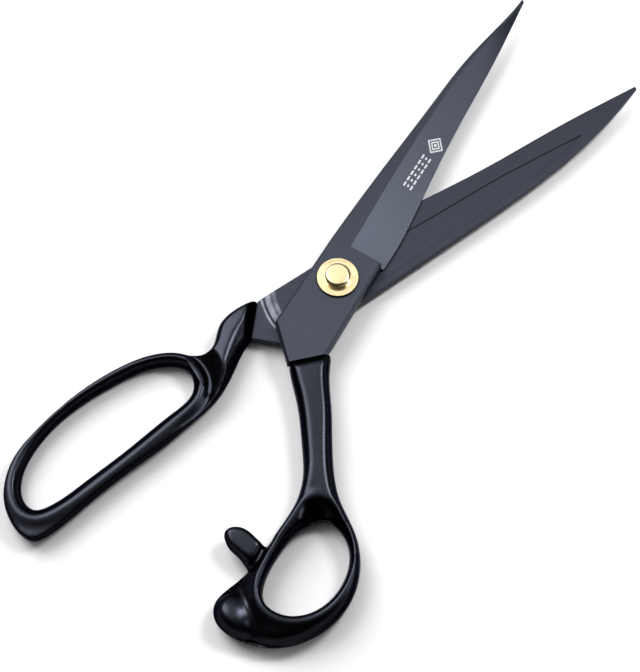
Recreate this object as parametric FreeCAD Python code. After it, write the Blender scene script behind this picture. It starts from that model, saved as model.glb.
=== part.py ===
import FreeCAD, Part
import math
import os

# Tailor's shears, 10 inch class, lying open on their side.  Millimetres.
# Row frame: +Z up off the table, +Y midway between the two blades towards the tips,
# origin on the pivot axis at the level of the table.
#
# Each half is drawn in its own leaf frame: the pivot on the Z axis, +Y to the blade's tip, the
# spine on -X and the cutting edge on +X, and z counted from the plane where the leaves meet.
# The thumb half lies above that plane.  The finger half is drawn the same way and then turned
# over about Y, so its spine is on +X and it lies below the plane.

OPEN_ANGLE = 23.1          # between the blades as the shears lie
RIDE_HEIGHT = 6.2          # from the table to the plane where the leaves meet
LEAF_THICKNESS = 4.8
LEAF_CLEARANCE = 0.03      # each leaf stays this far from the meeting plane
BLADE_REACH = 124.8        # pivot to tip
LEAF_HALF_WIDTH = 9.3      # pivot axis to the spine side of the leaf
EDGE_CHAMFER = 0.7

HANDLE_TOP = 5.9           # thumb handle height above the meeting plane
HANDLE_FOOT = 6.15         # both handles reach this far below it
BOLSTER_SLOPE = 2.9        # the bolster leans back this far

BOLT_RADIUS = 3.0
RUNNING_CLEARANCE = 0.05   # radial, bolt shank in the thumb leaf
BOLT_FLAT = 2.4            # pivot axis to each of the two flats
THREAD_RADIUS = 2.5
HEAD_RADIUS = 4.2
HEAD_HEIGHT = 2.3
HEAD_WASHER = (6.6, 0.9)   # outer radius, thickness
BACK_WASHER = (6.4, 0.5)
SPRING_WASHER = (6.2, 0.4)
NUT_FLANGE_RADIUS = 6.0
NUT_COLLAR_RADIUS = 3.8
NUT_COLLAR_TOP = -2.0      # from the meeting plane
SEAT_RADIUS = 7.0          # spotface under the finger leaf
SEAT_Z = -3.9              # from the meeting plane, as the next three
BACK_WASHER_TOP = -4.4
THREAD_END = -5.5
THUMB_TOP = LEAF_THICKNESS + LEAF_CLEARANCE

# Blade stations from heel to tip: y, cutting edge x, ridge distance from the spine, thickness.
BLADE_STATIONS = [
    (11.8, 10.2, 6.2, 4.80),
    (30.0, 9.5, 4.8, 4.45),
    (50.0, 7.1, 3.0, 3.95),
    (74.0, 4.9, 1.7, 3.30),
    (97.0, 3.4, 1.2, 2.60),
    (115.7, 1.5, 0.8, 2.00),
    (BLADE_REACH, 0.5, 0.4, 1.60),
]
THUMB_SPINE = [-9.1, -8.5, -7.5, -6.1, -4.4, -1.3, -0.4]
FINGER_SPINE = [-9.3, -9.3, -9.3, -8.8, -6.8, -3.1, -0.5]
EDGE_LAND = 0.6            # thickness left at the cutting edge

# Leaf outline behind the heel: spine corner, point, handle joint, heel.
SPINE_CORNER = (-9.3, -23.0)
LEAF_POINT = (1.2, -33.0)
JOINT_CORNER = (10.3, -24.3)
HEEL_X = 9.4

THUMB_TANG = [(2.6, -29.4), (6.8, -25.4), (25.0, -49.4), (22.0, -52.0)]
FINGER_TANG = [(2.6, -29.4), (6.8, -25.4), (8.0, -36.0), (3.4, -45.0), (-0.6, -43.0), (3.2, -35.0)]
TANG_LOW = 0.7             # the tang's two faces, from the inner face of the leaf
TANG_HIGH = 3.9

PAD_RADIUS = 25.4          # turned ride pad on the inner face
PAD_STEP = 0.5
GROOVE_RADIUS = 24.2       # turned groove just inside the pad's edge
GROOVE_WIDTH = 0.6
GROOVE_DEPTH = 0.2
HOLLOW_DEPTH = 0.35
THUMB_HOLLOW_POINT = (-3.0, 96.0)
FINGER_HOLLOW_POINT = (-3.4, 99.1)

# Handle outlines, leaf frame.  Each point: x, y, and how far the section rounds inwards there.
THUMB_OUTER = [
    (-2.0, -24.5, 2.6), (1.9, -33.0, 2.6), (9.5, -41.2, 2.8), (18.7, -53.1, 3.0), (24.8, -62.8, 2.6),
    (27.0, -72.4, 2.0), (26.8, -81.0, 1.9), (26.3, -90.0, 1.9), (25.0, -98.4, 2.2), (22.9, -104.3, 3.2),
    (22.3, -109.6, 4.0), (25.2, -113.8, 4.2), (30.8, -115.3, 4.4), (38.0, -114.3, 4.4),
    (45.5, -111.0, 4.0), (52.2, -104.2, 3.2), (56.1, -96.0, 2.7), (57.0, -87.0, 2.6),
    (54.4, -77.8, 2.8), (47.4, -69.0, 3.2), (38.5, -62.7, 3.4), (31.4, -54.9, 3.4),
    (20.1, -37.4, 2.8), (12.4, -25.2, 2.6), (6.0, -16.5, 2.6),
]
THUMB_HOLE = [
    (36.6, -70.6, 3.0), (32.4, -76.6, 2.4), (30.9, -87.0, 1.8), (31.8, -96.2, 1.6), (35.2, -101.6, 1.4),
    (40.4, -102.4, 1.4), (46.6, -99.4, 1.6), (51.2, -92.0, 2.0), (51.8, -82.6, 2.2), (48.8, -75.0, 2.6),
    (42.8, -70.5, 3.0),
]
STOP_OUTLINE = [           # closing stop: a round-ended peg on the thumb bow
    (31.0, -86.6, 0.4), (22.0, -86.0, 1.6), (15.6, -86.0, 1.8), (13.1, -88.6, 1.8), (16.2, -92.3, 1.8),
    (22.0, -93.8, 1.8), (31.0, -95.0, 0.4),
]
STOP_LOW = -2.6
STOP_HIGH = 4.2

FINGER_OUTER = [
    (0.6, -24.5, 2.2), (-0.3, -36.2, 2.6), (-5.0, -44.2, 2.8), (-9.4, -53.0, 3.0), (-11.4, -64.0, 3.1),
    (-12.7, -76.0, 3.1), (-13.3, -90.0, 3.1), (-14.8, -106.9, 3.2), (-15.9, -119.5, 3.4),
    (-14.2, -125.9, 2.6), (-10.7, -127.6, 2.6), (-5.6, -127.8, 2.8), (0.6, -126.2, 2.6),
    (6.6, -121.9, 2.2), (10.8, -116.2, 1.8), (14.5, -105.0, 1.4), (16.8, -92.0, 1.2),
    (17.2, -78.0, 1.2), (15.7, -66.8, 1.3), (12.0, -57.6, 1.6), (6.9, -51.8, 1.6), (4.6, -47.8, 1.8),
    (6.4, -43.8, 2.4), (10.2, -39.4, 2.6), (11.6, -34.0, 2.6), (10.8, -26.0, 2.2), (6.0, -16.0, 2.2),
]
NECK_LIFT = 5.2            # finger handle height on the far side of the meeting plane, at its neck
FINGER_HOLE = [
    (1.5, -55.8, 2.2), (-3.4, -59.4, 2.8), (-5.0, -68.0, 3.1), (-6.8, -86.0, 3.1), (-7.9, -103.0, 3.2),
    (-8.0, -115.2, 3.4), (-6.1, -120.0, 3.2), (-2.2, -120.9, 2.8), (4.0, -118.0, 2.4),
    (9.8, -110.0, 1.8), (13.3, -99.6, 1.4), (14.7, -87.0, 1.2), (14.1, -75.0, 1.2), (11.9, -64.0, 1.4),
    (7.2, -57.0, 1.8),
]
BOW_LIFT = 2.1             # the same at its bow, which is lower
BOW_START = [(40, -52), (-40, -58)]   # line where the neck steps down to the bow

LEVELS = 4                 # half the number of layers in a rounded section
ROUNDING_ANGLE = math.radians(80)


def vec(x, y, z=0.0):
    return FreeCAD.Vector(x, y, z)


def prism(points, z_low, z_high):
    """Straight-sided solid on a polygon."""
    corners = [vec(x, y, z_low) for x, y in points]
    wire = Part.makePolygon(corners + [corners[0]])
    return Part.Face(wire).extrude(vec(0, 0, z_high - z_low))


def disc(radius, z_low, z_high):
    return Part.makeCylinder(radius, z_high - z_low, vec(0, 0, z_low))


def ring(inner, outer, z_low, z_high):
    return disc(outer, z_low, z_high).cut(disc(inner, z_low, z_high))


def inset_loop(points, insets):
    """Move each point of a closed outline inwards by its own amount (outwards if negative)."""
    count = len(points)
    area = sum(points[i][0] * points[(i + 1) % count][1] - points[(i + 1) % count][0] * points[i][1]
               for i in range(count))
    side = 1.0 if area > 0 else -1.0
    moved = []
    for i, inset in enumerate(insets):
        before = points[i - 1]
        after = points[(i + 1) % count]
        dx = after[0] - before[0]
        dy = after[1] - before[1]
        length = math.hypot(dx, dy)
        moved.append((points[i][0] - side * dy / length * inset, points[i][1] + side * dx / length * inset))
    return moved


def smooth_wire(points, z):
    curve = Part.BSplineCurve()
    curve.interpolate(Points=[vec(x, y, z) for x, y in points], PeriodicFlag=True)
    return Part.Wire([curve.toShape()])


def rounded_body(outline, z_low, z_high):
    """Loft of one smooth outline through levels that round in towards top and bottom.

    Each outline point is x, y and how far the section rounds in there by the top and bottom."""
    points = [point[:2] for point in outline]
    middle = (z_low + z_high) / 2
    half = (z_high - z_low) / 2
    wires = []
    for level in range(-LEVELS, LEVELS + 1):
        angle = level / LEVELS * ROUNDING_ANGLE
        roundness = 1 - math.cos(angle)
        z = middle + half * math.sin(angle) / math.sin(ROUNDING_ANGLE)
        wires.append(smooth_wire(inset_loop(points, [point[2] * roundness for point in outline]), z))
    return Part.makeLoft(wires, True, False)


def blade(spine):
    """Ground blade from the heel to the tip: flat inside, a land along the spine outside, and one
    long facet from the land down to the cutting edge."""
    sections = []
    for (y, edge, land, thick), back in zip(BLADE_STATIONS, spine):
        chamfer = EDGE_CHAMFER * min(1.0, land / 3.0)
        profile = [(back, 0.0), (edge, 0.0), (edge, EDGE_LAND), (back + land + chamfer, thick),
                   (back + chamfer, thick), (back, thick - chamfer)]
        corners = [vec(x, y, z) for x, z in profile]
        sections.append(Part.makePolygon(corners + [corners[0]]))
    return Part.makeLoft(sections, True, False)


def leaf_plate(spine):
    """Flat part of the leaf round the pivot, chamfered along its free outer edges."""
    heel_y = BLADE_STATIONS[0][0]
    outline = [(spine[0], heel_y), SPINE_CORNER, LEAF_POINT, JOINT_CORNER, (HEEL_X, heel_y)]
    plate = prism(outline, 0.0, LEAF_THICKNESS)
    free_sides = [(outline[0], outline[1]), (outline[1], outline[2]), (outline[3], outline[4])]
    edges = []
    for edge in plate.Edges:
        ends = [(round(v.X, 3), round(v.Y, 3)) for v in edge.Vertexes]
        on_top = min(v.Z for v in edge.Vertexes) > LEAF_THICKNESS / 2
        for side in free_sides:
            wanted = [(round(x, 3), round(y, 3)) for x, y in side]
            if on_top and sorted(ends) == sorted(wanted):
                edges.append(edge)
    return plate.makeChamfer(EDGE_CHAMFER, edges)


def tang(outline):
    """Tongue of the leaf that the handle is cast round."""
    return prism(outline, TANG_LOW, TANG_HIGH)


def hollow(spine, point):
    """Shallow hollow-ground panel on the inner face, from the heel to its point near the tip."""
    land = 2.2
    inner = [(-1.5, 82.6), (-0.6, 74.0), (0.4, 63.0), (1.2, 46.0), (2.2, 30.0), (3.4, 12.5)]
    outer = [(spine[0] + land, 12.5), (spine[1] + land, 30.0), (spine[2] + land, 50.0),
             (spine[3] + land, 74.0)]
    near = Part.BSplineCurve()
    near.interpolate([vec(*point)] + [vec(x, y) for x, y in inner])
    far = Part.BSplineCurve()
    far.interpolate([vec(x, y) for x, y in outer] + [vec(*point)])
    end = Part.LineSegment(vec(*inner[-1]), vec(*outer[0]))
    wire = Part.Wire([near.toShape(), end.toShape(), far.toShape()])
    return Part.Face(wire).extrude(vec(0, 0, HOLLOW_DEPTH))


def leaf(spine, hollow_point, tang_outline):
    """One complete leaf before the pivot hole is made."""
    body = blade(spine).fuse(leaf_plate(spine))
    behind_pivot = prism([(-20, -60), (20, -60), (20, -12), (-20, -12)], 0.0, PAD_STEP)
    low_tang = ring(PAD_RADIUS, 60.0, 0.0, PAD_STEP).common(behind_pivot)
    groove = ring(GROOVE_RADIUS, GROOVE_RADIUS + GROOVE_WIDTH, 0.0, GROOVE_DEPTH).common(behind_pivot)
    body = body.cut(low_tang).cut(groove).cut(hollow(spine, hollow_point))
    return body.fuse(tang(tang_outline)).removeSplitter()


def end_cut(z_low, z_high):
    """Everything on the leaf's side of the handle joint, with the bolster's sloping shoulders."""
    ax, ay = LEAF_POINT
    bx, by = JOINT_CORNER
    length = math.hypot(bx - ax, by - ay)
    along = ((bx - ax) / length, (by - ay) / length)
    back = (-along[1], along[0])
    slope = BOLSTER_SLOPE
    profile = [(0.0, LEAF_THICKNESS), (-slope, z_high + 0.05), (-slope, z_high + 5.0), (40.0, z_high + 5.0),
               (40.0, z_low - 5.0), (-slope, z_low - 5.0), (-slope, z_low - 0.05), (0.0, z_low + slope / 2)]
    start = (ax - along[0] * 15, ay - along[1] * 15)
    corners = [vec(start[0] + back[0] * d, start[1] + back[1] * d, z) for d, z in profile]
    face = Part.Face(Part.makePolygon(corners + [corners[0]]))
    return face.extrude(vec(along[0] * 45, along[1] * 45, 0))


def flared(hole):
    """The same outline rounding outwards instead, for an opening."""
    return [(x, y, -flare) for x, y, flare in hole]


def thumb_handle():
    """Casting on the thumb leaf, with its bow, closing stop and ball-shaped lobe."""
    body = rounded_body(THUMB_OUTER, -HANDLE_FOOT, HANDLE_TOP)
    stop = rounded_body(STOP_OUTLINE, STOP_LOW, STOP_HIGH)
    opening = rounded_body(flared(THUMB_HOLE), -HANDLE_FOOT, HANDLE_TOP)
    return body.fuse(stop).cut(opening).cut(end_cut(-HANDLE_FOOT, HANDLE_TOP)).cut(tang(THUMB_TANG))


def finger_handle():
    """Casting on the finger leaf: a thick neck that steps down to a long bow for several fingers."""
    body = rounded_body(FINGER_OUTER, -NECK_LIFT, HANDLE_FOOT)
    over_bow = prism(BOW_START + [(-40, -150), (40, -150)], -NECK_LIFT - 1, -BOW_LIFT)
    opening = rounded_body(flared(FINGER_HOLE), -BOW_LIFT, HANDLE_FOOT)
    return body.cut(end_cut(-NECK_LIFT, HANDLE_FOOT)).cut(over_bow).cut(opening).cut(tang(FINGER_TANG))


def shank(radius, z_low, z_high):
    """Bolt shank with the two flats that stop it turning in the finger leaf."""
    between_flats = prism([(-BOLT_FLAT, -10), (BOLT_FLAT, -10), (BOLT_FLAT, 10), (-BOLT_FLAT, 10)], z_low, z_high)
    return disc(radius, z_low, z_high).common(between_flats)


def pivot_bolt():
    """Button head on its washer, round shank in the thumb leaf, two flats in the finger leaf, thread."""
    head_low = THUMB_TOP + LEAF_CLEARANCE + HEAD_WASHER[1]
    head = disc(HEAD_RADIUS, head_low, head_low + HEAD_HEIGHT)
    rim = [edge for edge in head.Edges if edge.BoundBox.ZMin > head_low + HEAD_HEIGHT / 2
           and edge.BoundBox.ZLength < 0.01]
    head = head.makeFillet(1.1, rim)
    round_shank = disc(BOLT_RADIUS, 0.0, head_low)
    keyed_shank = shank(BOLT_RADIUS, NUT_COLLAR_TOP, 0.0)
    thread = disc(THREAD_RADIUS, THREAD_END, NUT_COLLAR_TOP)
    return head.fuse(round_shank).fuse(keyed_shank).fuse(thread).removeSplitter()


def head_washer():
    """Washer with a shallow turned dish in its upper face."""
    radius, thick = HEAD_WASHER
    low = THUMB_TOP + LEAF_CLEARANCE
    washer = ring(BOLT_RADIUS, radius, low, low + thick)
    dish = ring(HEAD_RADIUS + 0.5, radius - 0.6, low + thick - 0.15, low + thick)
    return washer.cut(dish)


def spring_washer():
    """Washer bowed about one axis, so that it keeps the leaves pressed together."""
    radius, thick = SPRING_WASHER
    bow = SEAT_Z - BACK_WASHER_TOP - thick
    sag_radius = (radius ** 2 + bow ** 2) / (2 * bow)
    low_z = BACK_WASHER_TOP
    outer = Part.makeCylinder(sag_radius + thick, 40, vec(0, -20, low_z + sag_radius + thick), vec(0, 1, 0))
    inner = Part.makeCylinder(sag_radius, 40, vec(0, -20, low_z + sag_radius + thick), vec(0, 1, 0))
    return outer.cut(inner).common(ring(NUT_COLLAR_RADIUS + 0.15, radius, low_z, SEAT_Z))


def back_washer():
    radius, thick = BACK_WASHER
    return ring(NUT_COLLAR_RADIUS + 0.05, radius, BACK_WASHER_TOP - thick, BACK_WASHER_TOP)


def tension_nut():
    """Blind nut: a flange on the table side, a threaded collar up inside the leaf, and two spanner holes."""
    flange = disc(NUT_FLANGE_RADIUS, -RIDE_HEIGHT, BACK_WASHER_TOP - BACK_WASHER[1])
    foot = [edge for edge in flange.Edges if edge.BoundBox.ZMax < -RIDE_HEIGHT + 0.01]
    flange = flange.makeChamfer(0.3, foot)
    collar = disc(NUT_COLLAR_RADIUS, -RIDE_HEIGHT + 0.5, NUT_COLLAR_TOP)
    nut = flange.fuse(collar).cut(disc(THREAD_RADIUS, THREAD_END, NUT_COLLAR_TOP))
    for side in (-1, 1):
        hole = Part.makeCylinder(0.7, 1.0, vec(side * 4.6, 0, -RIDE_HEIGHT))
        nut = nut.cut(hole)
    return nut.removeSplitter()


def thumb_blade():
    """Upper leaf with its running hole on the bolt."""
    return leaf(THUMB_SPINE, THUMB_HOLLOW_POINT, THUMB_TANG).cut(disc(BOLT_RADIUS + RUNNING_CLEARANCE, -1, LEAF_THICKNESS + 1))


def finger_blade():
    """Lower leaf, turned over, with its keyed hole and the spotface for washers and nut."""
    body = turn_over(leaf(FINGER_SPINE, FINGER_HOLLOW_POINT, FINGER_TANG))
    body.translate(vec(0, 0, -LEAF_CLEARANCE))
    body = body.cut(shank(BOLT_RADIUS, -LEAF_THICKNESS - 1, 1))
    body = body.cut(disc(NUT_COLLAR_RADIUS + 0.1, -LEAF_THICKNESS - 1, NUT_COLLAR_TOP))
    return body.cut(disc(SEAT_RADIUS, -LEAF_THICKNESS - 1, SEAT_Z))


def turn_over(shape):
    """Turn a shape drawn in the leaf frame to the underside: half a turn about Y."""
    turned = shape.copy()
    turned.rotate(vec(0, 0, 0), vec(0, 1, 0), 180)
    return turned


def place(shape, angle):
    """Swing a half about the pivot and lift it to its height over the table."""
    placed = shape.copy()
    placed.rotate(vec(0, 0, 0), vec(0, 0, 1), angle)
    placed.translate(vec(0, 0, RIDE_HEIGHT))
    return placed


def raised(shape):
    """The thumb half's running clearance above the meeting plane."""
    moved = shape.copy()
    moved.translate(vec(0, 0, LEAF_CLEARANCE))
    return moved


def write(name, shape):
    solids = shape.Solids
    if len(solids) != 1 or not shape.isValid():
        print("check", name, len(solids), shape.isValid())
    solids[0].exportStep("parts/" + name + ".step")


os.makedirs("parts", exist_ok=True)
HALF = OPEN_ANGLE / 2
write("thumb_blade", place(raised(thumb_blade()), HALF))
write("thumb_handle", place(raised(thumb_handle()), HALF))
write("finger_blade", place(finger_blade(), -HALF))
lowered_handle = turn_over(finger_handle())
lowered_handle.translate(vec(0, 0, -LEAF_CLEARANCE))
write("finger_handle", place(lowered_handle, -HALF))
write("pivot_bolt", place(pivot_bolt(), -HALF))
write("head_washer", place(head_washer(), -HALF))
write("spring_washer", place(spring_washer(), -HALF))
write("back_washer", place(back_washer(), -HALF))
write("tension_nut", place(tension_nut(), -HALF))
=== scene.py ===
"""Fabric shears, lying open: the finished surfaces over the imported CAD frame.

Lengths inside the sculpting functions are millimetres in a leaf frame: +Y runs along that
half's blade, the hinge is on Z, and z = 0 is the plane where the two leaves meet.
"""
import math

import bmesh
import bpy
import numpy as np
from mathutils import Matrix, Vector
from mathutils.bvhtree import BVHTree


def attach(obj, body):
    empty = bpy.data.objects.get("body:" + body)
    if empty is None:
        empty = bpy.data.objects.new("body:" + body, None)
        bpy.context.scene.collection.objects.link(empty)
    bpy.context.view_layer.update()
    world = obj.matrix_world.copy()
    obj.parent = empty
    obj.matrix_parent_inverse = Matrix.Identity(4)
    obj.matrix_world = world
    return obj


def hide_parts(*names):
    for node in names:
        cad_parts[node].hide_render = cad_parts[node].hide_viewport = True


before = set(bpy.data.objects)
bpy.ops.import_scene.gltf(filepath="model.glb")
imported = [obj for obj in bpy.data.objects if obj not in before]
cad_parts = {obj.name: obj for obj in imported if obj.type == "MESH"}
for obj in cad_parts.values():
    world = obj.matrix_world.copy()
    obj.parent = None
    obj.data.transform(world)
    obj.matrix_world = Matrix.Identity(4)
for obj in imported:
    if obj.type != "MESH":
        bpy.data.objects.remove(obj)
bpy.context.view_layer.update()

MM = 0.001
HALF_OPENING = math.radians(11.55)
MEETING_HEIGHT = 6.2
THUMB_TURN = HALF_OPENING
FINGER_TURN = -HALF_OPENING
HANDLE_FOOT = -6.15
THUMB_TOP = 5.9
FINGER_BOW_TOP = 2.1
CAST_GRAIN = 0.45
SMOOTHING_PASSES = 11

# Crest of the ridge that runs round the thumb hole.
THUMB_CREST = [
    (33.2, -63.6), (29.4, -68.6), (28.5, -73.5), (28.4, -80.0), (28.6, -88.0),
    (29.9, -96.4), (31.8, -100.6), (35.5, -103.7), (40.2, -104.6), (45.2, -103.3),
    (49.9, -99.6), (53.1, -94.2), (54.3, -87.6), (53.4, -80.3), (51.2, -75.0),
    (47.6, -70.6), (42.7, -66.6), (38.4, -64.0),
]
# Crease between the stop peg and the bow that it stands on.
STOP_VALLEY = [(26.6, -84.6), (26.5, -88.0), (26.8, -91.4), (26.6, -94.6)]
# Crest of the finger bow's rim.
BOW_CREST = [
    (-3.0, -53.8), (1.5, -54.3), (5.2, -56.8), (7.6, -61.5), (8.8, -71.0), (10.2, -84.0),
    (11.4, -98.0), (12.0, -110.0), (11.2, -118.5), (8.2, -122.8), (3.0, -124.2), (-3.6, -121.6),
    (-9.4, -115.4), (-13.2, -107.0), (-15.2, -98.0), (-16.0, -88.0), (-15.8, -76.0),
    (-13.8, -66.0), (-10.6, -58.6), (-7.0, -55.0),
]
# Ridge along the top of the finger handle's neck, from the leaf down to the bow.
NECK_RIDGE = [(-7.2, -29.5), (-6.0, -34.0), (-3.6, -38.8), (0.5, -44.3), (5.8, -50.6)]

# The slanting end of a leaf, where its handle starts.
LEAF_POINT = (1.2, -33.0)
LEAF_CORNER = (10.3, -24.3)
BOLSTER_RUN = 3.0
BOLSTER_TOP = 4.15
BOLSTER_RISE = 1.9
NECK_BOLSTER_RISE = 5.4

# How the thumb handle's casting rounds off and falls away from its crest.
BOW_START = -62.0
BODY_START = -90.0
CREST_ROLL = 0.8
CREST_WIDTH = 1.6
UNDER_WIDTH = 2.0
BODY_SLOPE = 0.42
BODY_EDGE = 1.2
WEB_CENTRE = (26.4, -99.4)
WEB_REACH = (8.5, 8.5)
WEB_DEPTH = 2.0
LOBE_CENTRE = (28.4, -111.4)
LOBE_REACH = (14.0, 14.0)
LOBE_TROUGH = 2.0
LOBE_TOP = 1.1
LOBE_CURVE = 0.028
LOBE_FLANK = 0.00035
LOBE_BLEND = 0.80
STOP_VALLEY_DEPTH = 1.7
STOP_VALLEY_WIDTH = 1.3
SCOOP_CENTRE = (36.9, -71.6)
SCOOP_REACH = (7.2, 6.4)
SCOOP_TURN = -28
SCOOP_DEPTH = 4.2

# The stop peg: where it starts and ends, its leaning axis and its sloping side.
PEG_ROOT = 26.5
PEG_UPPER = -83.0
PEG_LOWER = -97.0
PEG_END = (14.0, -88.9)
PEG_LEAN = 0.11
PEG_FLAT = 2.2
PEG_SIDE_SLOPE = 1.1
PEG_SPREAD = 0.10

# The finger handle: the valley outside the bow's rim, the climb to the neck and the neck's two sides.
NECK_END = -74.0
NECK_FADE = 16.0
VALLEY_CURVE = 0.42
VALLEY_REACH = 2.3
NECK_CLIMB = 0.95
BOW_ROLL = 0.9
BOW_CREST_WIDTH = 2.2
LEFT_SLOPE = 0.13
LEFT_EASE = 1.2
RIGHT_SLOPE = 0.62
RIGHT_EASE = 1.0

ETCH_PROUD = 0.02
ORNAMENT_TOP = (2.3, 59.6)
STITCHES = 6
STITCH_START = 53.6
STITCH_STEP = 2.4
STITCH_LINE = 2.2
STITCH_ROWS = 1.25
STITCH_LENGTH = 1.7
STITCH_WIDTH = 0.55
THUMB_COATING = [(0.0185, 0.0212, 0.0292, 1), (0.0230, 0.0265, 0.0362, 1)]
FINGER_COATING = [(0.013, 0.014, 0.021, 1), (0.016, 0.017, 0.026, 1)]
# Stops of a ramp over the distance from the hinge, 1.0 standing for 50 mm: bright rings on the finger
# blade, partly rub wear and partly painted highlight where the chamfered steps round the hinge catch
# the light.
NO_ARCS = [(0.0, 0.0), (1.0, 0.0)]
RUB_AND_GLINT_ARCS = [
    (0.400, 0.0), (0.420, 0.7), (0.436, 0.15), (0.450, 0.9), (0.474, 0.8), (0.480, 0.0),
    (0.490, 0.0), (0.496, 1.0), (0.508, 1.0), (0.516, 0.0),
]
SKY_CENTRE = (-0.50, 0.20, 0.84)
SKY_STEPS = [(0.10, 0.02), (0.64, 0.12), (0.97, 1.0)]
SKY_STRENGTH = 1.5


# ---------------------------------------------------------------- curves and distances

def flowing(points, closed=False, steps=8):
    """A smooth line through the points, as an array."""
    ring = np.array(points, float)
    count = len(ring)
    out = []
    for i in range(count if closed else count - 1):
        if closed:
            a, b, c, d = (ring[(i + k) % count] for k in (-1, 0, 1, 2))
        else:
            a, b, c, d = (ring[min(max(i + k, 0), count - 1)] for k in (-1, 0, 1, 2))
        for t in np.arange(steps) / steps:
            curve = 2 * b + (c - a) * t + (2 * a - 5 * b + 4 * c - d) * t ** 2
            out.append((curve + (3 * b - a - 3 * c + d) * t ** 3) / 2)
    if not closed:
        out.append(ring[-1])
    return np.array(out)


def away_from(places, line, closed=False):
    """Distance of each place from a line, seen from above."""
    ends = np.roll(line, -1, axis=0) if closed else line[1:]
    starts = line if closed else line[:-1]
    nearest = np.full(len(places), 1e9)
    for start, end in zip(starts, ends):
        run = end - start
        along = np.clip((places - start) @ run / max(run @ run, 1e-12), 0, 1)
        gap = places - start - along[:, None] * run
        nearest = np.minimum(nearest, np.hypot(gap[:, 0], gap[:, 1]))
    return nearest


def within(places, ring):
    """True for each place inside a closed line."""
    inside = np.zeros(len(places), bool)
    x, y = places[:, 0], places[:, 1]
    for (x1, y1), (x2, y2) in zip(ring, np.roll(ring, -1, axis=0)):
        if y1 == y2:
            continue
        crosses = (y1 > y) != (y2 > y)
        inside ^= crosses & (x < (x2 - x1) * (y - y1) / (y2 - y1) + x1)
    return inside


def ease(share):
    """0 below 0, 1 above 1, and a smooth step between."""
    share = np.clip(share, 0, 1)
    return share * share * (3 - 2 * share)


def merged(first, second, blend):
    """The smaller of two amounts, rounded off where they cross."""
    return -blend * np.logaddexp(-first / blend, -second / blend)


def bell(distance, width):
    """1 on a line, falling to 0 away from it."""
    return np.exp(-(distance / width) ** 2)


def oval(places, centre, reach, turn=0.0):
    """0 at the centre of an oval and 1 on its edge."""
    dx, dy = (places - np.array(centre)).T
    c, s = math.cos(math.radians(turn)), math.sin(math.radians(turn))
    return np.hypot((dx * c + dy * s) / reach[0], (dy * c - dx * s) / reach[1])


# ---------------------------------------------------------------- leaf frames and meshes

def read_places(mesh):
    flat = np.zeros(len(mesh.vertices) * 3, np.float32)
    mesh.vertices.foreach_get("co", flat)
    return flat.reshape(-1, 3).astype(float)


def write_places(mesh, places):
    mesh.vertices.foreach_set("co", places.astype(np.float32).ravel())
    mesh.update()


def to_leaf(places, turn):
    c, s = math.cos(turn), math.sin(turn)
    x, y, z = places.T / MM
    return np.stack([x * c + y * s, y * c - x * s, z - MEETING_HEIGHT], axis=1)


def from_leaf(places, turn):
    c, s = math.cos(turn), math.sin(turn)
    x, y, z = places.T
    return np.stack([x * c - y * s, x * s + y * c, z + MEETING_HEIGHT], axis=1) * MM


def new_piece(name, mesh):
    piece = bpy.data.objects.new(name, mesh)
    bpy.context.scene.collection.objects.link(piece)
    return piece


def settle(piece):
    """Applies the piece's modifiers to its mesh."""
    view = bpy.context.evaluated_depsgraph_get()
    mesh = bpy.data.meshes.new_from_object(piece.evaluated_get(view))
    piece.modifiers.clear()
    piece.data = mesh
    return piece


def welded(node):
    """A copy of a node's mesh with its seams joined."""
    mesh = bpy.data.meshes.new(node + "_skin")
    work = bmesh.new()
    work.from_mesh(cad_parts[node].data)
    bmesh.ops.remove_doubles(work, verts=work.verts, dist=0.002 * MM)
    work.to_mesh(mesh)
    work.free()
    return mesh


def casting(name, node, turn, sculpt):
    """A handle as it comes from the mould: even grain, sculpted, then smoothed."""
    piece = new_piece(name, welded(node))
    grain = piece.modifiers.new("grain", "REMESH")
    grain.mode = "VOXEL"
    grain.voxel_size = CAST_GRAIN * MM
    settle(piece)
    places = to_leaf(read_places(piece.data), turn)
    write_places(piece.data, from_leaf(sculpt(places), turn))
    soften = piece.modifiers.new("soften", "SMOOTH")
    soften.factor = 0.5
    soften.iterations = SMOOTHING_PASSES
    settle(piece)
    piece.data.shade_smooth()
    return piece


# ---------------------------------------------------------------- the two handles

def past_leaf(places, turn):
    """How far each place lies beyond the end of the leaf that the handle is cast on to."""
    side = 1 if turn == THUMB_TURN else -1
    point = np.array([LEAF_POINT[0] * side, LEAF_POINT[1]])
    corner = np.array([LEAF_CORNER[0] * side, LEAF_CORNER[1]])
    run = (corner - point) / np.hypot(*(corner - point))
    return (places - point) @ np.array([run[1], -run[0]]) * side


def peg_area(flat):
    """How far each place belongs to the stop peg, and how far it lies above the peg's axis."""
    on_peg = ease((PEG_ROOT - flat[:, 0]) / 1.5) * ease(PEG_UPPER - flat[:, 1])
    on_peg *= ease(flat[:, 1] - PEG_LOWER)
    axis = PEG_END[1] - PEG_LEAN * (flat[:, 0] - PEG_END[0])
    return on_peg, flat[:, 1] - axis


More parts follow.
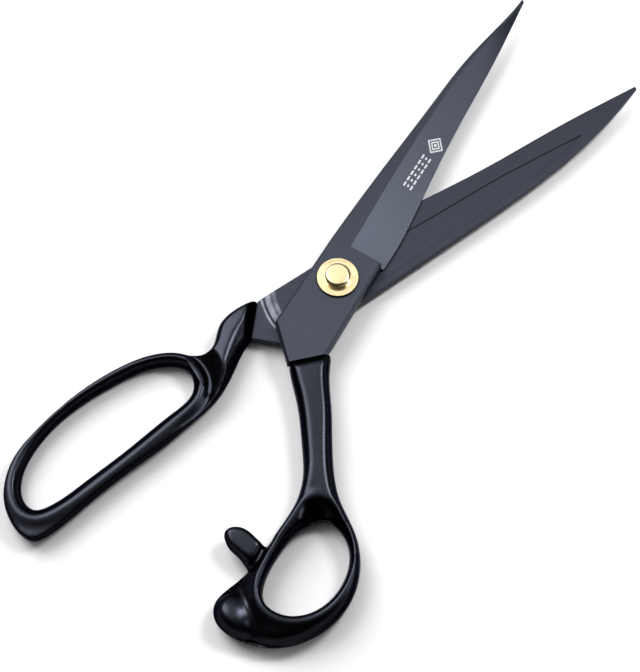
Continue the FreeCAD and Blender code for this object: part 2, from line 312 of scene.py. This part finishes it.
def thumb_drop(flat, bow, off_crest, outward):
    """How far the top of the thumb handle falls: crest, body, web, lobe, crease and scoop."""
    body = ease((BODY_START - flat[:, 1]) / 12)
    drop = CREST_ROLL * bow * (1 - bell(off_crest, CREST_WIDTH))
    drop += BODY_SLOPE * body * np.maximum(outward - BODY_EDGE, 0)
    web = oval(flat, WEB_CENTRE, WEB_REACH)
    drop += WEB_DEPTH * ease(1 - web) * ease((outward - 0.2) / 3.0)
    by_lobe = ease((1 - oval(flat, LOBE_CENTRE, LOBE_REACH)) / 0.5)
    drop += LOBE_TROUGH * by_lobe * ease((outward - 1.0) / 6.0)
    from_lobe = oval(flat, LOBE_CENTRE, (1.0, 1.0))
    dome = LOBE_TOP + LOBE_CURVE * from_lobe ** 2 + LOBE_FLANK * from_lobe ** 4
    drop = merged(drop, dome, LOBE_BLEND)
    drop += STOP_VALLEY_DEPTH * bell(away_from(flat, flowing(STOP_VALLEY)), STOP_VALLEY_WIDTH)
    scoop = oval(flat, SCOOP_CENTRE, SCOOP_REACH, SCOOP_TURN)
    drop += SCOOP_DEPTH * ease((1 - scoop) / 0.6)
    return drop


def shape_thumb_handle(places):
    """The bow's ridge, the scoop over the hole, the lobe, the stop peg and the bolster."""
    flat = places[:, :2]
    height = (places[:, 2] - HANDLE_FOOT) / (THUMB_TOP - HANDLE_FOOT)
    upper = ease((height - 0.42) / 0.45)
    lower = ease((0.45 - height) / 0.4)
    crest = flowing(THUMB_CREST, closed=True)
    off_crest = away_from(flat, crest, closed=True)
    outward = np.where(within(flat, crest), -off_crest, off_crest)
    bow = ease((BOW_START - flat[:, 1]) / 8)
    drop = thumb_drop(flat, bow, off_crest, outward)
    under = CREST_ROLL * bow * (1 - bell(off_crest, UNDER_WIDTH))
    on_peg, off_peg = peg_area(flat)
    drop += PEG_SIDE_SLOPE * on_peg * np.maximum(-off_peg - PEG_FLAT, 0)
    places[:, 1] += PEG_SPREAD * on_peg * ease((places[:, 2] + 1.0) / 4.0) * off_peg
    places[:, 2] += lower * under - upper * drop
    bolster = BOLSTER_TOP + BOLSTER_RISE * ease(past_leaf(flat, THUMB_TURN) / BOLSTER_RUN)
    places[:, 2] = np.minimum(places[:, 2], bolster)
    return places


def right_of(places, line):
    """Signed distance from an open line, positive on its right-hand side going along it."""
    gap = away_from(places, line)
    first, last = line[0], line[-1]
    run = (last - first) / np.hypot(*(last - first))
    middle = line[np.argmin(np.abs(places[:, None, :] - line[None, :, :]).sum(2), axis=1)]
    side = (places - middle) @ np.array([run[1], -run[0]])
    return np.where(side > 0, gap, -gap)


def finger_roof(off_crest, outside, near_neck):
    """The greatest height at each place: flat on the bow, a valley and a climb outside its rim."""
    valley = FINGER_BOW_TOP - VALLEY_CURVE * np.minimum(off_crest, VALLEY_REACH) ** 2
    neck = valley + NECK_CLIMB * np.maximum(off_crest - VALLEY_REACH, 0)
    return np.where(outside, neck * near_neck + FINGER_BOW_TOP * (1 - near_neck), FINGER_BOW_TOP)


def neck_fall(flat):
    """How far the neck falls to each side of its ridge, gently on the left and steeply on the right."""
    beside = -right_of(flat, flowing(NECK_RIDGE))
    left = np.maximum(-beside, 0)
    right = np.maximum(beside, 0)
    return LEFT_SLOPE * left ** 2 / (left + LEFT_EASE) + RIGHT_SLOPE * right ** 2 / (right + RIGHT_EASE)


def shape_finger_handle(places):
    """The neck that comes down to a valley at the bow, and the bow's own crest."""
    flat = places[:, :2]
    rim = flowing(BOW_CREST, closed=True)
    off_crest = away_from(flat, rim, closed=True)
    outside = ~within(flat, rim)
    near_neck = ease((flat[:, 1] - NECK_END) / NECK_FADE)
    places[:, 2] = np.minimum(places[:, 2], finger_roof(off_crest, outside, near_neck))
    height = (places[:, 2] - HANDLE_FOOT) / (FINGER_BOW_TOP - HANDLE_FOOT)
    rounding = BOW_ROLL * (1 - bell(off_crest, BOW_CREST_WIDTH)) * ease((-52.0 - flat[:, 1]) / 4)
    places[:, 2] -= ease((height - 0.5) / 0.45) * rounding * (1 - near_neck * outside)
    on_neck = ease((flat[:, 1] + 54.0) / 6.0)
    places[:, 2] -= ease((height - 0.5) / 0.45) * neck_fall(flat) * on_neck
    bolster = NECK_BOLSTER_RISE * ease(past_leaf(flat, FINGER_TURN) / BOLSTER_RUN)
    places[:, 2] = np.minimum(places[:, 2], bolster)
    return places


def make_handles():
    """Both castings, each in place of its node and riding on its half."""
    thumb = casting("thumb_handle_cast", "thumb_handle", THUMB_TURN, shape_thumb_handle)
    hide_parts("thumb_handle")
    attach(thumb, "thumb_half")
    finger = casting("finger_handle_cast", "finger_handle", FINGER_TURN, shape_finger_handle)
    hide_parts("finger_handle")
    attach(finger, "finger_half")
    enamel = enamel_finish()
    for handle in (thumb, finger):
        handle.data.materials.clear()
        handle.data.materials.append(enamel)


# ---------------------------------------------------------------- the etched ornament

def bevel_surface():
    """The thumb blade's faces, to lay the ornament on."""
    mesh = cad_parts["thumb_blade"].data
    return BVHTree.FromPolygons([v.co for v in mesh.vertices], [p.vertices for p in mesh.polygons])


def lay_patch(work, blade, outline):
    """A flat patch, given as (across, along) in the leaf frame, laid on the blade with a thin edge."""
    tops = []
    for across, along in outline:
        spot = from_leaf(np.array([[across, along, 20.0]]), THUMB_TURN)[0]
        hit = blade.ray_cast(Vector(spot), Vector((0, 0, -1)))[0]
        tops.append(work.verts.new((hit.x, hit.y, hit.z + ETCH_PROUD * MM)))
    feet = [work.verts.new((v.co.x, v.co.y, v.co.z - 2 * ETCH_PROUD * MM)) for v in tops]
    work.faces.new(tops)
    work.faces.new(list(reversed(feet)))
    for i in range(len(tops)):
        j = (i + 1) % len(tops)
        work.faces.new((tops[i], feet[i], feet[j], tops[j]))


def lozenge(across, along, half_width, half_length):
    """A lozenge's four corners."""
    return [
        (across, along - half_length), (across + half_width, along),
        (across, along + half_length), (across - half_width, along),
    ]


def make_ornament():
    """Nested lozenges over three rows of stitch marks, in bare steel, part way up the blade."""
    mesh = bpy.data.meshes.new("etched_ornament")
    work = bmesh.new()
    blade = bevel_surface()
    for ring in range(3):
        for quarter in range(4):
            outer = lozenge(*ORNAMENT_TOP, 2.9 - 1.15 * ring, 3.4 - 1.35 * ring)
            inner = lozenge(*ORNAMENT_TOP, 2.3 - 1.15 * ring, 2.7 - 1.35 * ring)
            if ring == 2:
                inner = [ORNAMENT_TOP] * 4
            after = (quarter + 1) % 4
            patch = [outer[quarter], outer[after], inner[after], inner[quarter]]
            lay_patch(work, blade, patch if ring < 2 else patch[:3])
    for i in range(STITCHES):
        along = STITCH_START - i * STITCH_STEP
        for row in (-1, 0, 1):
            across = STITCH_LINE + row * STITCH_ROWS
            reach = STITCH_LENGTH / 2 if row else STITCH_LENGTH / 4
            patch = [
                (across - STITCH_WIDTH / 2, along - reach), (across + STITCH_WIDTH / 2, along - reach),
                (across + STITCH_WIDTH / 2, along + reach), (across - STITCH_WIDTH / 2, along + reach),
            ]
            lay_patch(work, blade, patch)
    bmesh.ops.recalc_face_normals(work, faces=work.faces)
    work.to_mesh(mesh)
    work.free()
    ornament = new_piece("etched_ornament", mesh)
    mesh.materials.append(etch_finish())
    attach(ornament, "thumb_half")


# ---------------------------------------------------------------- finishes

class Value:
    """A socket that numbers and other sockets can be added to, multiplied and so on."""

    def __init__(self, finish, socket):
        self.finish = finish
        self.socket = socket

    def worked(self, operation, first, second):
        settings = {"operation": operation}
        return self.finish.node("ShaderNodeMath", settings, {0: first, 1: second})

    def __add__(self, other):
        return self.worked("ADD", self, other)

    def __radd__(self, other):
        return self.worked("ADD", other, self)

    def __sub__(self, other):
        return self.worked("SUBTRACT", self, other)

    def __rsub__(self, other):
        return self.worked("SUBTRACT", other, self)

    def __mul__(self, other):
        return self.worked("MULTIPLY", self, other)

    def __rmul__(self, other):
        return self.worked("MULTIPLY", other, self)


class NodeSet:
    """Nodes being put together in one tree."""

    def __init__(self, tree):
        self.tree = tree

    def feed(self, socket, value):
        if isinstance(value, Value):
            self.tree.links.new(value.socket, socket)
        else:
            socket.default_value = value

    def node(self, kind, settings, sockets, out=0):
        made = self.tree.nodes.new(kind)
        for key, value in settings.items():
            if key == "stops":
                self.set_stops(made.color_ramp, value)
            else:
                setattr(made, key, value)
        for key, value in sockets.items():
            self.feed(made.inputs[key], value)
        return Value(self, made.outputs[out])

    def set_stops(self, ramp, stops):
        while len(ramp.elements) < len(stops):
            ramp.elements.new(0.5)
        for element, (place, shade) in zip(ramp.elements, stops):
            element.position = place
            element.color = (shade, shade, shade, 1)

    def ramp(self, value, stops):
        return self.node("ShaderNodeValToRGB", {"stops": stops}, {"Fac": value})


class Finish(NodeSet):
    """A material being put together from nodes."""

    def __init__(self, name, constants):
        self.material = bpy.data.materials.new(name)
        self.material.use_nodes = True
        super().__init__(self.material.node_tree)
        self.shader = self.tree.nodes["Principled BSDF"]
        for socket, value in constants.items():
            self.shader.inputs[socket].default_value = value

    def place(self, stretch=(1, 1, 1), turn=0.0):
        """Where a point is on the object, stretched along the axes and turned about Z."""
        spot = self.node("ShaderNodeTexCoord", {}, {}, out="Object")
        sockets = {"Vector": spot, "Scale": stretch, "Rotation": (0, 0, turn)}
        return self.node("ShaderNodeMapping", {}, sockets)

    def noise(self, where, scale, detail=3.0):
        sockets = {"Vector": where, "Scale": scale, "Detail": detail}
        return self.node("ShaderNodeTexNoise", {}, sockets)

    def mix(self, share, first, second):
        sockets = {0: share, 6: first, 7: second}
        return self.node("ShaderNodeMix", {"data_type": "RGBA"}, sockets, out=2)

    def bump(self, height, strength, distance):
        sockets = {"Height": height, "Strength": strength, "Distance": distance}
        return self.node("ShaderNodeBump", {}, sockets)

    def set(self, socket, value):
        self.feed(self.shader.inputs[socket], value)


def enamel_finish():
    """Thick glossy black enamel with a faint orange-peel, hazy patches, specks of dust and painted
    shade on its steeper sides.
    """
    made = Finish("black_enamel_gloss", {"Metallic": 1.0, "Specular Tint": (0.42, 0.42, 0.44, 1)})
    where = made.place()
    haze = made.noise(where, 60.0)
    peel = made.noise(where, 420.0, 2.0)
    dust = made.ramp(made.noise(where, 2600.0, 1.0), [(0.70, 0.0), (0.78, 1.0)])
    tone = made.mix(haze, (0.0155, 0.0165, 0.022, 1), (0.0205, 0.0220, 0.0280, 1))
    # painted shade: faces that slope away from straight up are darkened towards black, more the steeper
    # they stand
    facing = made.node("ShaderNodeNewGeometry", {}, {}, out="Normal")
    upward = made.node("ShaderNodeSeparateXYZ", {}, {0: facing}, out="Z")
    painted_wall_shade = made.ramp(upward, [(0.40, 0.75), (0.92, 0.0)])
    tone = made.mix(painted_wall_shade, tone, (0.0055, 0.0055, 0.0062, 1))
    made.set("Base Color", made.mix(dust * 0.4, tone, (0.10, 0.10, 0.12, 1)))
    made.set("Roughness", 0.22 + 0.10 * haze)
    made.set("Normal", made.bump(peel, 0.10, 0.0002))
    return made.material


def steel_finish(name, turn, dark, light, rub_and_glint_stops):
    """Satin black-grey coating over ground steel, with bright arcs round the hinge that are partly rub
    wear and partly painted highlight on the chamfered steps, and painted shade in its creases.
    """
    made = Finish(name, {"Specular Tint": (0.6, 0.6, 0.65, 1)})
    lines = made.noise(made.place((0.06, 1.0, 1.0), turn), 4200.0, 2.0)
    cloud = made.noise(made.place(), 35.0)
    grain = made.noise(made.place(), 2500.0, 2.0)
    tone = made.mix(cloud, dark, light)
    tone = made.mix(lines * 0.22, tone, (0.075, 0.080, 0.095, 1))
    spot = made.place((1, 1, 0))
    radius = made.node("ShaderNodeVectorMath", {"operation": "LENGTH"}, {0: spot}, out="Value")
    # bright arcs: partly rub wear, partly painted highlight on the chamfered steps
    arcs = made.ramp(radius * 20.0, rub_and_glint_stops)
    tang_side = made.node("ShaderNodeSeparateXYZ", {}, {0: made.place((1, 1, 1), turn)}, out="Y")
    tang_side = made.node("ShaderNodeMath", {"operation": "LESS_THAN"}, {0: tang_side, 1: -0.004})
    scuff = made.ramp(made.noise(made.place(), 260.0), [(0.30, 0.35), (0.62, 1.0)])
    # lightens the coating in those arcs on the tang side: partly rub wear, partly painted highlight
    wear_and_glint = arcs * scuff * tang_side
    tone = made.mix(wear_and_glint, tone, (0.17, 0.185, 0.215, 1))
    # painted shade: ambient occlusion darkens creases, recesses and step edges towards black
    open_air = made.node("ShaderNodeAmbientOcclusion", {"samples": 8}, {"Distance": 0.0009}, out="AO")
    painted_crease_shade = made.ramp(open_air, [(0.55, 1.0), (0.86, 0.0)])
    made.set("Base Color", made.mix(painted_crease_shade, tone, (0.001, 0.001, 0.0015, 1)))
    made.set("Metallic", 0.80)
    made.set("Roughness", 0.34 + 0.06 * grain + 0.06 * lines)
    made.set("Normal", made.bump(lines * 0.6 + grain * 0.4, 0.06, 0.00008))
    return made.material


def brass_finish():
    """Polished brass with turning rings and a little tarnish."""
    made = Finish("polished_brass", {"Metallic": 1.0})
    spot = made.place((1, 1, 0))
    radius = made.node("ShaderNodeVectorMath", {"operation": "LENGTH"}, {0: spot}, out="Value")
    rings = made.node("ShaderNodeMath", {"operation": "SINE"}, {0: radius * 32000.0})
    tarnish = made.noise(made.place(), 320.0)
    made.set("Base Color", made.mix(tarnish, (0.51, 0.40, 0.215, 1), (0.61, 0.51, 0.315, 1)))
    made.set("Roughness", 0.16 + 0.14 * tarnish)
    made.set("Normal", made.bump(rings * 0.3 + tarnish, 0.05, 0.00005))
    return made.material


def spring_finish():
    """Brushed spring steel."""
    made = Finish("brushed_spring_steel", {"Metallic": 1.0})
    brush = made.noise(made.place((1.0, 0.05, 1.0)), 3600.0)
    made.set("Base Color", made.mix(brush, (0.42, 0.42, 0.43, 1), (0.62, 0.62, 0.63, 1)))
    made.set("Roughness", 0.26 + 0.18 * brush)
    made.set("Normal", made.bump(brush, 0.08, 0.00005))
    return made.material


def etch_finish():
    """Bare steel where the coating was etched away, finely frosted."""
    made = Finish("etched_bare_steel", {"Metallic": 0.6})
    frost = made.noise(made.place(), 5200.0, 2.0)
    made.set("Base Color", made.mix(frost, (0.24, 0.25, 0.26, 1), (0.40, 0.41, 0.42, 1)))
    made.set("Roughness", 0.38 + 0.2 * frost)
    made.set("Normal", made.bump(frost, 0.12, 0.00003))
    return made.material


def finish_cad_nodes():
    """The nodes whose own shape is right get their finish on their material slots."""
    brass = brass_finish()
    worn = {
        "thumb_blade": steel_finish("thumb_blade_coating", THUMB_TURN, *THUMB_COATING, NO_ARCS),
        "finger_blade": steel_finish("finger_blade_coating", FINGER_TURN, *FINGER_COATING, RUB_AND_GLINT_ARCS),
        "pivot_bolt": brass,
        "head_washer": brass,
        "back_washer": brass,
        "tension_nut": brass,
        "spring_washer": spring_finish(),
    }
    for node, material in worn.items():
        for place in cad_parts[node].material_slots:
            place.material = material


# ---------------------------------------------------------------- floor, light and camera

def make_floor():
    mesh = bpy.data.meshes.new("table_top")
    work = bmesh.new()
    bmesh.ops.create_grid(work, x_segments=12, y_segments=12, size=2.0)
    work.to_mesh(mesh)
    work.free()
    table = new_piece("table_top", mesh)
    paint = Finish("pale_table", {"Roughness": 0.55, "Specular IOR Level": 0.3})
    mottle = paint.noise(paint.place(), 6.0)
    paint.set("Base Color", paint.mix(mottle, (0.66, 0.66, 0.67, 1), (0.68, 0.68, 0.69, 1)))
    mesh.materials.append(paint.material)


def soft_box(name, place, aim, size, power):
    lamp = bpy.data.lights.new(name, "AREA")
    lamp.shape = "RECTANGLE"
    lamp.size, lamp.size_y = size
    lamp.energy = power
    box = bpy.data.objects.new(name, lamp)
    box.location = place
    box.rotation_euler = (Vector(aim) - Vector(place)).to_track_quat("-Z", "Y").to_euler()
    bpy.context.scene.collection.objects.link(box)


def make_sky():
    """A studio dome, brightest high on the left and dark behind the camera."""
    world = bpy.data.worlds.new("studio")
    world.use_nodes = True
    sky = NodeSet(world.node_tree)
    way = sky.node("ShaderNodeTexCoord", {}, {}, out="Generated")
    settings = {"operation": "DOT_PRODUCT"}
    lean = sky.node("ShaderNodeVectorMath", settings, {0: way, 1: SKY_CENTRE}, out="Value")
    glow = sky.ramp(lean, SKY_STEPS)
    sky.feed(world.node_tree.nodes["Background"].inputs["Color"], glow)
    world.node_tree.nodes["Background"].inputs["Strength"].default_value = SKY_STRENGTH
    bpy.context.scene.world = world


def make_light():
    centre = (0, 0, 0)
    soft_box("left_box", (-0.47, -0.03, 0.60), centre, (0.46, 0.56), 5.6)
    soft_box("bevel_box", (0.09, 0.21, 0.42), (0.0, 0.02, 0), (0.13, 0.13), 1.40)
    soft_box("right_box", (0.60, 0.35, 0.30), centre, (0.2, 0.5), 1.5)


def make_camera():
    lens = bpy.data.cameras.new("viewpoint")
    lens.lens = 97.05
    lens.sensor_width = 36.0
    camera = bpy.data.objects.new("viewpoint", lens)
    camera.location = (0.1605, -0.1832, 0.5373)
    camera.rotation_euler = (math.radians(23.0), 0, math.radians(42.55))
    bpy.context.scene.collection.objects.link(camera)
    bpy.context.scene.camera = camera


# ---------------------------------------------------------------- the whole scene

bpy.context.scene.view_settings.view_transform = "Standard"
make_camera()
make_sky()
make_light()
make_floor()
make_handles()
make_ornament()
finish_cad_nodes()
